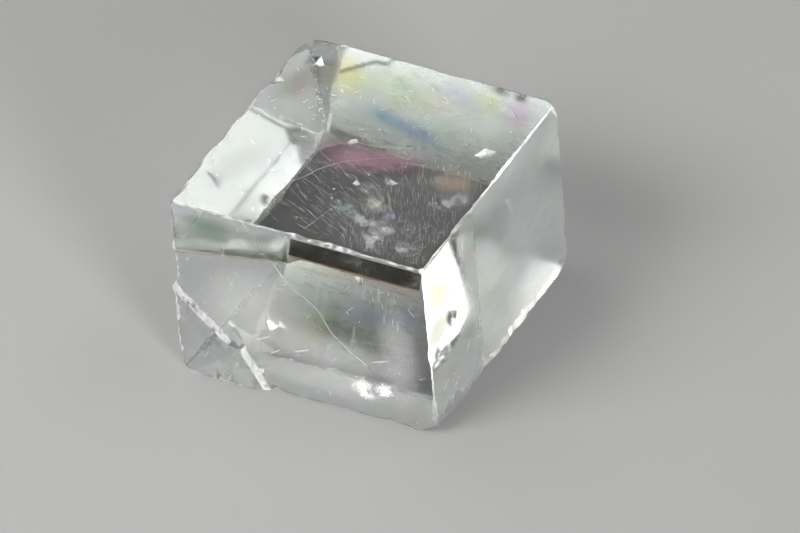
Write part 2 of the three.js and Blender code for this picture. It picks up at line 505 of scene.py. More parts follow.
# The right face is clear next to the near corner and frosted farther along. It is known by its reach along
# its own normal, and the frost sets in between two places along the "y" edge.
RIGHT_REACH = FACES["right"].dot(NEAR_CORNER) - 0.2 * MM
FROST_FROM = TO_EDGES[1].dot(NEAR_CORNER) + 8 * MM
FROST_TO = TO_EDGES[1].dot(NEAR_CORNER) + 13 * MM
RIGHT_FROST = 0.24


def absorb(tree):
    """The faint absorption of the clear body."""
    volume = node(tree, "ShaderNodeVolumeAbsorption", None, {"Color": BODY_ABSORPTION, "Density": 1.0})
    tree.links.new(volume.outputs[0], tree.nodes["Material Output"].inputs["Volume"])


def calcite_material(name, transmission):
    """A node material with calcite's refractive index and a plain transmission."""
    material, tree, shader, place = new_material(name)
    shader.inputs["Transmission Weight"].default_value = transmission
    shader.inputs["IOR"].default_value = CALCITE_IOR
    return material, tree, shader, place


def clear_calcite(settings, effects):
    """The top, the bottom and clean nicks: clear, with fine scratches, and painted shade on the underside."""
    material, tree, shader, place = calcite_material("clear_calcite", 1.0)
    scratches = effect(tree, effects["scratches"], {"Vector": place, "Turn": SCRATCH_TURN})
    cloud = effect(tree, effects["cloud"], {"Vector": place, "Scale": 170.0})
    pastel = effect(
        tree,
        effects["pastel"],
        {"Vector": place, "Color": (*settings.body, 1), "Amount": 0.35},
    )
    scuffed = math_node(tree, "MULTIPLY", scratches.outputs["Mask"], cloud.outputs["Mask"])
    rough = ranged(tree, scuffed, *CLEAR_ROUGHNESS)
    # Below a height the face is the underside, which takes the painted shade colour.
    height = node(tree, "ShaderNodeSeparateXYZ", None, {0: place}).outputs["Z"]
    raised = math_node(tree, "GREATER_THAN", height, UNDERSIDE)
    colour = mixed_colour(tree, raised, (*settings.underside_shade, 1), pastel.outputs["Color"])
    tree.links.new(colour, shader.inputs["Base Color"])
    tree.links.new(rough, shader.inputs["Roughness"])
    tree.links.new(bumped(tree, scratches.outputs["Height"], SCRATCH_RELIEF, 0.12), shader.inputs["Normal"])
    absorb(tree)
    return material


def misty_calcite(settings, effects):
    """The side faces: clear behind a fine misty scuffing with pastel tints."""
    material, tree, shader, place = calcite_material("misty_calcite", 0.97)
    scratches = effect(tree, effects["scratches"], {"Vector": place, "Turn": SCRATCH_TURN, "Cover": 0.58})
    drawn = node(tree, "ShaderNodeVectorMath", {"operation": "MULTIPLY"}, {0: place, 1: MIST_STRETCH})
    cloud = effect(tree, effects["cloud"], {"Vector": drawn.outputs[0], "Scale": 600.0, "Least": 0.3})
    pastel = effect(
        tree,
        effects["pastel"],
        {"Vector": drawn.outputs[0], "Color": (*settings.body, 1), "Amount": 1.0, "Scale": 420.0},
    )
    colour = mixed_colour(tree, cloud.outputs["Mask"], pastel.outputs["Color"], (*settings.mist, 1))
    veiled = ranged(tree, cloud.outputs["Mask"], *MISTY_ROUGHNESS)
    scuff = math_node(tree, "MULTIPLY", scratches.outputs["Mask"], MISTY_SCUFF)
    reach = node(tree, "ShaderNodeVectorMath", {"operation": "DOT_PRODUCT"}, {0: place, 1: FACES["right"]})
    right = math_node(tree, "GREATER_THAN", reach.outputs["Value"], RIGHT_REACH)
    along = node(tree, "ShaderNodeVectorMath", {"operation": "DOT_PRODUCT"}, {0: place, 1: TO_EDGES[1]})
    frosted = node(
        tree,
        "ShaderNodeMapRange",
        None,
        {
            "Value": along.outputs["Value"],
            "From Min": FROST_FROM,
            "From Max": FROST_TO,
            "To Max": RIGHT_FROST,
        },
    )
    frost = math_node(tree, "MULTIPLY", right, frosted.outputs[0])
    rough = math_node(tree, "ADD", math_node(tree, "ADD", veiled, scuff), frost)
    tree.links.new(colour, shader.inputs["Base Color"])
    tree.links.new(rough, shader.inputs["Roughness"])
    tree.links.new(bumped(tree, scratches.outputs["Height"], SCRATCH_RELIEF, 0.15), shader.inputs["Normal"])
    absorb(tree)
    return material


def bruised_calcite(settings, effects):
    """Crushed edges, chips, scratches and cracks: white, granular and hardly see-through."""
    material, tree, shader, place = calcite_material("bruised_calcite", 0.35)
    cloud = effect(tree, effects["cloud"], {"Vector": place, "Scale": 1400.0, "Least": 0.3})
    grains = node(
        tree,
        "ShaderNodeTexVoronoi",
        {"voronoi_dimensions": "3D"},
        {"Vector": place, "Scale": 6000.0},
    )
    dull = tuple(DULL_BRUISE * channel for channel in settings.bruise)
    colour = mixed_colour(tree, cloud.outputs["Mask"], (*dull, 1), (*settings.bruise, 1))
    rough = ranged(tree, cloud.outputs["Mask"], *BRUISED_ROUGHNESS)
    tree.links.new(colour, shader.inputs["Base Color"])
    tree.links.new(rough, shader.inputs["Roughness"])
    tree.links.new(bumped(tree, grains.outputs["Distance"], GRAIN_RELIEF, 0.5), shader.inputs["Normal"])
    return material


def frosted_calcite(settings, effects):
    """Worn edges: rough and milky, but see-through, and painted darker towards the floor as painted shade."""
    material, tree, shader, place = calcite_material("frosted_calcite", 0.9)
    cloud = effect(tree, effects["cloud"], {"Vector": place, "Scale": 1400.0, "Least": 0.3})
    rough = ranged(tree, cloud.outputs["Mask"], *FROSTED_ROUGHNESS)
    # The worn edges are painted darker towards the floor, as painted shade.
    height = node(tree, "ShaderNodeSeparateXYZ", None, {0: place}).outputs["Z"]
    painted_shade_range = {"Value": height, "From Max": SHADE_BELOW, "To Min": SHADE_SHARE}
    share = node(tree, "ShaderNodeMapRange", None, painted_shade_range)
    colour = node(
        tree,
        "ShaderNodeVectorMath",
        {"operation": "SCALE"},
        {0: settings.mist, "Scale": share.outputs[0]},
    )
    tree.links.new(colour.outputs[0], shader.inputs["Base Color"])
    tree.links.new(rough, shader.inputs["Roughness"])
    return material


def veil_alpha(tree, shader, fade, strength, cloud):
    """Lets a veil thin out towards its rim and through its clouds."""
    thinned = math_node(tree, "MULTIPLY", fade, cloud)
    alpha = node(
        tree,
        "ShaderNodeMath",
        {"operation": "MULTIPLY", "use_clamp": True},
        {0: thinned, 1: strength},
    )
    tree.links.new(alpha.outputs[0], shader.inputs["Alpha"])


def tinted_veil(effects):
    """Thin films just outside the faces that only tint the light: pastel tints, and the bands on the front
    that are painted shade and painted fire.
    """
    material, tree, shader, place = new_material("tinted_veil")
    shader.inputs["Transmission Weight"].default_value = 1.0
    shader.inputs["IOR"].default_value = 1.0
    shader.inputs["Roughness"].default_value = 0.0
    tint = node(tree, "ShaderNodeAttribute", {"attribute_name": "tint"})
    fade = node(tree, "ShaderNodeAttribute", {"attribute_name": "fade"})
    cloud = effect(
        tree,
        effects["cloud"],
        {"Vector": place, "Scale": 260.0, "Least": 0.1, "Most": 0.55},
    )
    tree.links.new(tint.outputs["Color"], shader.inputs["Base Color"])
    veil_alpha(tree, shader, fade.outputs["Fac"], tint.outputs["Alpha"], cloud.outputs["Mask"])
    return material


def white_veil(effects):
    """Thin films just outside the faces that scatter the light, as white or faintly coloured wisps."""
    material, tree, shader, place = new_material("white_veil")
    shader.inputs["Roughness"].default_value = 1.0
    shader.inputs["Specular IOR Level"].default_value = 0.0
    tint = node(tree, "ShaderNodeAttribute", {"attribute_name": "tint"})
    fade = node(tree, "ShaderNodeAttribute", {"attribute_name": "fade"})
    even = node(tree, "ShaderNodeAttribute", {"attribute_name": "even"})
    cloud = effect(
        tree,
        effects["cloud"],
        {"Vector": place, "Scale": 650.0, "Least": 0.34, "Most": 0.78},
    )
    evened = ranged(tree, cloud.outputs["Mask"], even.outputs["Fac"], 1.0)
    tree.links.new(tint.outputs["Color"], shader.inputs["Base Color"])
    veil_alpha(tree, shader, fade.outputs["Fac"], tint.outputs["Alpha"], evened)
    return material


# The crystal's material slots, and those of its cleavage faces.
CLEAR, MISTY, BRUISED, TINT_SHADE_AND_FIRE, WHITE, FROSTED = range(6)
FACE_SLOT = {"top": CLEAR, "bottom": CLEAR, "front": MISTY, "right": MISTY, "left": MISTY, "back": MISTY}
CLEAVAGE_COSINE = math.cos(math.radians(0.6))

# Where broken faces are white: on the ledge on the front face apart from its bend, and down to a depth at the
# top, but not where clean nicks sparkle at its far corner. Places along the edges in millimetres.
FAR_NICKS = 24.0
LEDGE_PROUD = -0.05
LEDGE_BEND = 27.0, 28.2
TOP_DEEP = 0.6

# Size of the milky patches in the white edges, and the noise above which a facet is milky.
MOTTLE = 0.5 * MM
MILKY_FROM = 0.05
LEDGE_MILKY_FROM = 0.2

# How close points are merged, how often the small facets are halved, and the seed of their tilt.
MERGE = 1e-7
GRAIN_ROUNDS = 3
GRAIN_SEED = 11


def face_slot(polygon):
    """The material slot of a face: that of its cleavage face, or of the way it is broken."""
    for name, direction in FACES.items():
        if polygon.normal.dot(direction) > CLEAVAGE_COSINE:
            return FACE_SLOT[name]
    place = in_rhomb(polygon.center)
    ledge = place.y < LEDGE_PROUD and not LEDGE_BEND[0] < place.x < LEDGE_BEND[1]
    if place.z < TOP_DEEP and place.x > FAR_NICKS and place.y > FAR_NICKS:
        return CLEAR
    return BRUISED if ledge or place.z < TOP_DEEP else FROSTED


def mottle(mesh):
    """Leaves some of the small facets of the white edges milky."""
    for polygon in mesh.polygons:
        milky_from = MILKY_FROM if in_rhomb(polygon.center).y > LEDGE_PROUD else LEDGE_MILKY_FROM
        if polygon.material_index == BRUISED and noise.noise(polygon.center / MOTTLE) > milky_from:
            polygon.material_index = FROSTED


def broken_edges(mesh, longest):
    """Selects the edges of broken faces that are longer than a length."""
    broken = set()
    for polygon in mesh.polygons:
        if polygon.material_index in (BRUISED, FROSTED):
            broken.update(polygon.edge_keys)
    for edge in mesh.edges:
        first, second = (mesh.vertices[index].co for index in edge.vertices)
        edge.select = edge.key in broken and (first - second).length > longest


def broken_points(mesh):
    """Selects the points that only broken faces meet in."""
    flat = set()
    for polygon in mesh.polygons:
        if polygon.material_index not in (BRUISED, FROSTED):
            flat.update(polygon.vertices)
    for vertex in mesh.vertices:
        vertex.select = vertex.index not in flat


def select_none(kind):
    """Sets the kind of element that is selected in edit mode, and deselects everything."""
    bpy.ops.object.mode_set(mode="EDIT")
    bpy.ops.mesh.select_mode(type=kind)
    bpy.ops.mesh.select_all(action="DESELECT")
    bpy.ops.object.mode_set(mode="OBJECT")


def granulate(mesh, settings):
    """Breaks the worn edges up into small tilted facets, and leaves the cleavage faces flat."""
    for _ in range(GRAIN_ROUNDS):
        select_none("EDGE")
        broken_edges(mesh, settings.grain)
        bpy.ops.object.mode_set(mode="EDIT")
        bpy.ops.mesh.subdivide(number_cuts=1, ngon=False)
        bpy.ops.object.mode_set(mode="OBJECT")
    select_none("VERT")
    broken_points(mesh)
    bpy.ops.object.mode_set(mode="EDIT")
    bpy.ops.transform.vertex_random(offset=settings.roughening, uniform=0.0, normal=0.0, seed=GRAIN_SEED)
    bpy.ops.object.mode_set(mode="OBJECT")


class CALCITE_OT_crystal(bpy.types.Operator):
    """Make the crystal from the plain rhomb, with small facets on its worn edges"""

    bl_idname = "calcite.crystal"
    bl_label = "Crystal"

    def execute(self, context):
        settings = context.scene.calcite_crystal
        effects = {
            "scratches": cleavage_scratches(),
            "cloud": cloudiness(),
            "pastel": pastel_fringes(),
        }
        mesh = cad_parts[NODE].data.copy()
        crystal = bpy.data.objects.new(CRYSTAL, mesh)
        context.scene.collection.objects.link(crystal)
        finishes = {
            CLEAR: clear_calcite(settings, effects),
            MISTY: misty_calcite(settings, effects),
            BRUISED: bruised_calcite(settings, effects),
            TINT_SHADE_AND_FIRE: tinted_veil(effects),
            WHITE: white_veil(effects),
            FROSTED: frosted_calcite(settings, effects),
        }
        mesh.materials.clear()
        for slot in sorted(finishes):
            mesh.materials.append(finishes[slot])
        choose(crystal)
        bpy.ops.mesh.customdata_custom_splitnormals_clear()
        bpy.ops.object.mode_set(mode="EDIT")
        bpy.ops.mesh.select_all(action="SELECT")
        bpy.ops.mesh.remove_doubles(threshold=MERGE)
        bpy.ops.object.mode_set(mode="OBJECT")
        bpy.ops.object.shade_flat()
        for polygon in mesh.polygons:
            polygon.material_index = face_slot(polygon)
        granulate(mesh, settings)
        mottle(mesh)
        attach(crystal, "root")
        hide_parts(NODE)
        return {"FINISHED"}


# Long scratches on the top and cracks in the front and right faces: their face, their share of the crack
# width, and points along the two edges of the face.
TRACES = [
    ("top", 0.7, [(23.2, 7.7), (21.6, 10.4), (20.4, 12.7), (18.5, 14.8), (14.9, 16.9), (10.7, 18.8)]),
    ("top", 0.7, [(23.2, 13.4), (22.6, 15.8), (21.3, 17.1), (19.4, 18.5), (16.4, 18.6), (12, 20.2)]),
    ("top", 0.5, [(23, 12.5), (21.1, 11.5)]),
    ("top", 0.5, [(22.3, 15.4), (20.1, 14.1)]),
    ("top", 0.4, [(16.9, 1.5), (15.4, 7.1)]),
    ("front", 0.8, [(24.4, 0.2), (23.2, 1.8), (22.5, 3.3), (21.1, 4.8), (19.5, 7), (17.8, 8.6), (15.7, 10)]),
    ("front", 1.0, [(15.7, 10), (14.6, 11.4), (13.4, 13.7), (11.8, 15.1), (9.9, 16.5), (9, 17.1)]),
    ("front", 0.9, [(29.8, 0.1), (30.4, 1.3), (31.8, 3.1), (32.7, 4.9), (33.9, 5.2)]),
    ("right", 0.8, [(22.8, 0.5), (22.1, 2.2), (21.7, 3.5)]),
]

# Chips on the top: place along its two edges and size.
CHIPS = [
    (11.3, 16.6, 0.3),
    (14.6, 13.6, 0.4),
    (17.2, 9.6, 0.45),
    (16.6, 8.0, 0.4),
    (19.5, 13.8, 0.3),
    (20.3, 14.3, 0.25),
    (18.9, 13.2, 0.3),
    (18.7, 3.2, 0.4),
    (17.5, 3.4, 0.3),
    (20.8, 7.3, 0.25),
    (23.1, 3.0, 0.4),
]

# Short bright streaks on the front face: their two ends and their width.
STREAKS = [
    ((24.3, 17.9), (22.3, 16.8), 0.2),
    ((22.5, 19.5), (21.0, 18.4), 0.16),
    ((19.2, 18.2), (17.0, 17.2), 0.22),
    ((8.4, 16.4), (5.8, 15.4), 0.17),
]

# Clusters of white flakes on the front face: how many, their middle, their spread and the largest size.
BRUISES = [
    (12, (9.9, 20.6), (0.5, 0.8), 0.9),
    (9, (6.9, 20.3), (0.9, 0.4), 0.8),
    (14, (8.2, 20.2), (2.0, 1.3), 0.25),
    (5, (6.0, 15.8), (1.0, 0.4), 0.25),
]

# Families of fine scratches: face, how many, their places along its two edges, their way over the face and
# its spread in degrees, and the longest.
SCRATCHES = [
    ("top", 540, (0.8, 12.5), (0.8, 18), 63, 6, 2.2),
    ("top", 300, (11, 23), (1.5, 16), 27, 7, 2.0),
    ("top", 200, (1, 9), (0.8, 8), 70, 50, 0.8),
    ("top", 60, (1, 34), (1, 34), 45, 90, 1.2),
    ("front", 18, (3.5, 8), (4.5, 10), 92, 4, 1.6),
    ("front", 60, (0.8, 17.5), (0.6, 3.0), 80, 30, 0.9),
    ("front", 40, (1, 34), (1, 24), 30, 60, 1.8),
    ("right", 12, (8.2, 9.6), (2.4, 10.5), 90, 3, 3.0),
    ("right", 40, (1, 34), (1, 24), 70, 50, 1.8),
    ("left", 26, (1, 34), (1, 24), 70, 50, 1.8),
    ("back", 26, (1, 34), (1, 24), 30, 60, 1.8),
    ("bottom", 26, (1, 34), (1, 34), 45, 90, 2.2),
]

# Veils that tint the light, two of which, grey and green below the front's top edge, are painted shade: their
# face, two ends, width, tint and strength.
TINTS_AND_SHADE = [
    ("top", (28.6, 34.4), (23.4, 24.4), 7.0, (1.0, 0.94, 0.62), 1.3),
    ("top", (32.6, 3.0), (27.4, 17.0), 6.0, (0.87, 0.87, 0.86), 1.2),
    ("top", (27.0, 31.0), (12.0, 28.0), 9.0, (0.93, 0.98, 0.84), 1.3),
    ("top", (25.0, 23.0), (14.0, 24.0), 5.0, (0.88, 0.94, 0.91), 1.2),
    ("top", (19.0, 27.0), (9.0, 30.0), 5.0, (1.0, 0.93, 0.86), 1.2),
    ("top", (15.0, 33.0), (9.0, 30.5), 4.0, (0.88, 0.90, 1.0), 1.3),
    ("top", (10.5, 33.4), (4.5, 29.5), 5.4, (0.98, 1.0, 0.76), 1.3),
    ("top", (4.6, 34.2), (1.6, 26.4), 4.6, (1.0, 0.86, 0.95), 1.5),
    ("top", (22.4, 25.6), (12.6, 22.2), 3.4, (0.66, 0.76, 0.96), 1.2),
    ("top", (17.6, 24.6), (8.0, 21.2), 3.8, (0.66, 0.75, 0.95), 1.2),
    ("top", (24.0, 14.6), (12.0, 17.4), 6.4, (0.93, 0.72, 0.79), 1.4),
    ("top", (19.0, 14.0), (7.6, 18.0), 6.0, (0.93, 0.72, 0.79), 1.3),
    ("top", (6.5, 15.4), (0.9, 17.0), 3.2, (0.95, 0.80, 0.64), 1.2),
    ("top", (33.0, 21.6), (28.6, 32.0), 5.4, (0.74, 0.71, 0.67), 1.4),
    ("top", (33.6, 25.0), (30.0, 22.6), 2.6, (0.88, 0.96, 0.80), 1.2),
    ("top", (31.8, 27.0), (28.8, 22.4), 2.2, (1.0, 0.87, 0.83), 1.2),
    # These grey and green veils below the front's top edge are painted shade over the strip seen through the
    # crystal.
    ("front", (34.2, 2.0), (24.0, 1.6), 2.6, (0.66, 0.70, 0.68), 1.6),
    ("front", (33.0, 2.2), (26.2, 3.2), 3.2, (0.74, 0.91, 0.79), 1.5),
    ("front", (18.0, 8.0), (9.0, 14.0), 7.0, (0.90, 0.97, 0.93), 1.2),
    ("front", (10.0, 21.0), (1.0, 15.0), 6.0, (0.96, 0.91, 1.0), 1.2),
    ("right", (9.0, 3.0), (17.0, 6.0), 4.0, (0.88, 0.95, 0.90), 1.2),
]

# Straight bands below the front's top edge, where the dark and olive ones are painted shade and the thin
# orange ones are painted fire: their face, two ends, width, tint, strength and the share of it that is left
# on their upper side.
SHADE_AND_FIRE_BANDS = [
    ("front", (18.1, 1.85), (0.4, 1.75), 2.5, (0.17, 0.16, 0.15), 1.0, 1.0),
    ("front", (34.3, 5.2), (18.6, 2.4), 3.8, (0.44, 0.47, 0.41), 1.0, 0.2),
    ("front", (18.2, 3.3), (0.4, 3.15), 0.26, (0.92, 0.62, 0.36), 0.9, 1.0),
    ("front", (18.2, 4.7), (0.4, 4.3), 0.22, (1.0, 0.80, 0.56), 0.9, 1.0),
    ("front", (34.3, 7.5), (18.3, 4.3), 0.22, (0.95, 0.80, 0.56), 0.9, 1.0),
]

# White or faintly coloured wisps: their face, two ends, width, tint, strength and evenness, which is how
# little their clouds thin them.
WISPS = [
    ("top", (10.6, 3.6), (6.3, 2.2), 3.8, (0.84, 0.83, 0.82), 0.6, 0.0),
    ("top", (13.0, 6.4), (8.4, 4.8), 3.4, (0.82, 0.83, 0.82), 0.55, 0.0),
    ("top", (9.9, 6.0), (6.0, 4.8), 2.8, (0.84, 0.84, 0.82), 0.5, 0.0),
    ("top", (13.4, 9.9), (8.6, 8.0), 3.8, (0.84, 0.82, 0.70), 0.4, 0.0),
    ("top", (15.0, 12.0), (10.8, 10.2), 2.8, (0.76, 0.82, 0.78), 0.4, 0.0),
    ("top", (17.4, 8.1), (11.2, 5.8), 3.4, (0.62, 0.76, 0.73), 0.36, 0.0),
    ("top", (10.4, 8.1), (6.4, 6.7), 2.2, (0.64, 0.62, 0.88), 0.42, 0.0),
    ("top", (5.4, 10.8), (2.0, 13.0), 3.0, (0.80, 0.80, 0.78), 0.45, 0.0),
    ("top", (3.6, 12.0), (0.8, 15.0), 3.0, (0.80, 0.80, 0.80), 0.45, 0.0),
    ("top", (6.0, 3.6), (1.6, 2.0), 3.0, (0.78, 0.78, 0.76), 0.35, 0.0),
    ("top", (23.6, 15.4), (13.4, 17.2), 5.6, (0.68, 0.45, 0.52), 0.22, 0.5),
    ("top", (19.8, 14.6), (8.8, 18.4), 5.2, (0.68, 0.45, 0.52), 0.2, 0.5),
    ("top", (22.6, 13.4), (13.6, 15.8), 4.2, (0.66, 0.46, 0.52), 0.15, 0.4),
    ("top", (8.6, 14.8), (0.7, 17.1), 5.0, (0.70, 0.58, 0.46), 0.2, 0.7),
    ("front", (11.8, 20.2), (7.6, 21.6), 3.2, (0.92, 0.92, 0.91), 2.0, 0.0),
    ("front", (9.0, 21.1), (4.8, 19.4), 2.4, (0.92, 0.92, 0.91), 1.8, 0.0),
    ("front", (4.8, 4.6), (4.2, 24.0), 7.2, (0.86, 0.87, 0.86), 0.15, 0.8),
    ("front", (29.0, 21.4), (2.0, 21.2), 5.6, (0.86, 0.87, 0.86), 0.13, 0.7),
    ("front", (27.0, 16.6), (0.8, 17.2), 8.4, (0.86, 0.87, 0.86), 0.2, 0.7),
    ("front", (34.0, 13.5), (14.0, 14.0), 17.0, (0.80, 0.80, 0.78), 0.18, 0.85),
]

# Sizes of the marks in millimetres, and their shares of a largest size.
VEIL_THICKNESS = 0.03
VEIL_LIFT = 0.03
WISP_LIFT = 2 * VEIL_LIFT
SCRATCH_WIDTHS = 0.013, 0.04
SCRATCH_HEIGHT = 0.03
SCRATCH_SHARES = 0.2, 1.0
CRACK_PROUD = 0.012
CRACK_DEPTH = 0.05
CRACK_STEP = 0.9
CRACK_SWAY = 0.07
CHIP_HALF_HEIGHT = 0.02
CHIP_NARROWING = 0.35, 1.0
FLAKE_SHARES = 0.3, 1.0
FLECK_SIZES = 0.05, 0.16

# The part of the top with flecks, along its two edges.
FLECKED = (2, 24), (0.8, 20)

# Unevenness of the patterns that the marks are copied from, how many there are, and the seed of their places.
VEIL_UNEVEN = 0.09
CHIP_UNEVEN = 0.3
VEIL_PATTERNS = 3
CHIP_PATTERNS = 6
MARKS_SEED = 2024


def veil_pattern(seed):
    """A closed lens two units across with an uneven rim, which fades from its middle to the rim."""
    bpy.ops.object.select_all(action="DESELECT")
    bpy.ops.mesh.primitive_uv_sphere_add(segments=20, ring_count=12, radius=1.0)
    lens = bpy.context.object
    bpy.ops.object.mode_set(mode="EDIT")
    bpy.ops.transform.vertex_random(offset=VEIL_UNEVEN, uniform=0.0, normal=0.0, seed=seed)
    bpy.ops.object.mode_set(mode="OBJECT")
    fade = lens.data.attributes.new("fade", "FLOAT", "POINT")
    for vertex in lens.data.vertices:
        fade.data[vertex.index].value = max(0.0, 1 - vertex.co.xy.length_squared) ** 2
    return lens


def slab_pattern(upper):
    """A closed slab two units long and wide, which fades to a share of itself on its upper side."""
    bpy.ops.object.select_all(action="DESELECT")
    bpy.ops.mesh.primitive_cube_add(size=2.0)
    slab = bpy.context.object
    fade = slab.data.attributes.new("fade", "FLOAT", "POINT")
    for vertex in slab.data.vertices:
        fade.data[vertex.index].value = upper if vertex.co.y > 0 else 1.0
    return slab


def chip_pattern(seed):
    """A flat chip two units across with three to five uneven corners."""
    bpy.ops.object.select_all(action="DESELECT")
    bpy.ops.mesh.primitive_cylinder_add(vertices=3 + seed % 3, radius=1.0, depth=2.0)
    chip = bpy.context.object
    bpy.ops.object.mode_set(mode="EDIT")
    bpy.ops.transform.vertex_random(offset=CHIP_UNEVEN, uniform=0.0, normal=0.0, seed=seed)
    bpy.ops.object.mode_set(mode="OBJECT")
    return chip


def scratch_pattern():
    """A spindle two units long that comes to a point at both ends."""
    bpy.ops.object.select_all(action="DESELECT")
    bpy.ops.mesh.primitive_uv_sphere_add(segments=4, ring_count=4, radius=1.0, rotation=(0, math.pi / 2, 0))
    bpy.ops.object.transform_apply(location=False, rotation=True, scale=False)
    return bpy.context.object


def lay(pattern, slot, face, start, end, width, height, lift):
    """A copy of a pattern on a face, stretched between two places on it."""
    first, last = on_face(face, *start), on_face(face, *end)
    along = last - first
    across = FACES[face].cross(along).normalized() * width * MM
    upward = FACES[face] * height * MM
    middle = (first + last) / 2 + FACES[face] * lift * MM
    axes = Matrix((along / 2, across / 2, upward / 2)).transposed()
    return copied(pattern, slot, Matrix.Translation(middle) @ axes.to_4x4())


def copied(pattern, slot, matrix):
    """A copy of a pattern with its own mesh, moved by a matrix, in one of the crystal's materials."""
    mesh = pattern.data.copy()
    mesh.transform(matrix)
    mesh.materials.clear()
    mesh.materials.append(bpy.data.objects[CRYSTAL].data.materials[slot])
    copy = bpy.data.objects.new(pattern.name, mesh)
    bpy.context.scene.collection.objects.link(copy)
    return copy


def paint(piece, tint, strength, evenness=0.0):
    """Gives a veil its tint and strength, and how little its clouds thin it."""
    layer = piece.data.attributes.new("tint", "FLOAT_COLOR", "POINT")
    for value in layer.data:
        value.color = (*tint, strength)
    even = piece.data.attributes.new("even", "FLOAT", "POINT")
    for value in even.data:
        value.value = evenness
    return piece


def traced_places(points, face, rng):
    """Places just proud of a face along a line through points on it, with a slight sway between them."""
    places = [on_face(face, *points[0], CRACK_PROUD)]
    for before, after in zip(points, points[1:]):
        steps = max(1, round(math.dist(before, after) / CRACK_STEP))
        for step in range(1, steps + 1):
            share = step / steps
            sway = 0.0 if step == steps else rng.uniform(-CRACK_SWAY, CRACK_SWAY)
            place = [a + (b - a) * share + sway for a, b in zip(before, after)]
            places.append(on_face(face, *place, CRACK_PROUD))
    return places


def traced(points, face, width, rng):
    """A crack or a long scratch: a thin wall that follows points on a face and stands into the crystal."""
    places = traced_places(points, face, rng)
    bpy.ops.object.select_all(action="DESELECT")
    bpy.ops.mesh.primitive_plane_add(size=width)
    wall = bpy.context.object
    bpy.ops.object.mode_set(mode="EDIT")
    bpy.ops.mesh.select_mode(type="VERT")
    bpy.ops.mesh.select_all(action="SELECT")
    bpy.ops.mesh.merge(type="CENTER")
    bpy.ops.transform.translate(value=places[0])
    for before, after in zip(places, places[1:]):
        bpy.ops.mesh.extrude_vertices_move(TRANSFORM_OT_translate={"value": after - before})
    bpy.ops.mesh.select_all(action="SELECT")
    inwards = FACES[face] * -(CRACK_DEPTH * MM)
    bpy.ops.mesh.extrude_edges_move(TRANSFORM_OT_translate={"value": inwards})
    bpy.ops.object.mode_set(mode="OBJECT")
    solid = wall.modifiers.new("width", "SOLIDIFY")
    solid.thickness = width
    solid.offset = 0.0
    bpy.ops.object.modifier_apply(modifier=solid.name)
    wall.data.materials.clear()
    wall.data.materials.append(bpy.data.objects[CRYSTAL].data.materials[BRUISED])
    return wall


def strewn(chips, rng, face, place, size):
    """One chip at a place on a face, turned by chance."""
    turn = Matrix.Rotation(rng.uniform(0, math.tau), 4, "Z")
    stand = FACES[face].to_track_quat("Z", "Y").to_matrix().to_4x4()
    half = size * MM / 2
    scale = Matrix.Diagonal((half, half * rng.uniform(*CHIP_NARROWING), CHIP_HALF_HEIGHT * MM, 1))
    matrix = Matrix.Translation(on_face(face, *place)) @ stand @ turn @ scale
    return copied(rng.choice(chips), BRUISED, matrix)


def scratched(spindle, rng, family):
    """One fine scratch of a family, placed by chance."""
    face, _, firsts, seconds, way, spread, longest = family
    first, second = rng.uniform(*firsts), rng.uniform(*seconds)
    turn = math.radians(rng.gauss(way, spread))
    half = rng.uniform(*SCRATCH_SHARES) * longest / 2
    reach = half * math.cos(turn), half * math.sin(turn)
    ends = (first - reach[0], second - reach[1]), (first + reach[0], second + reach[1])
    return lay(spindle, BRUISED, face, *ends, rng.uniform(*SCRATCH_WIDTHS), SCRATCH_HEIGHT, 0.0)


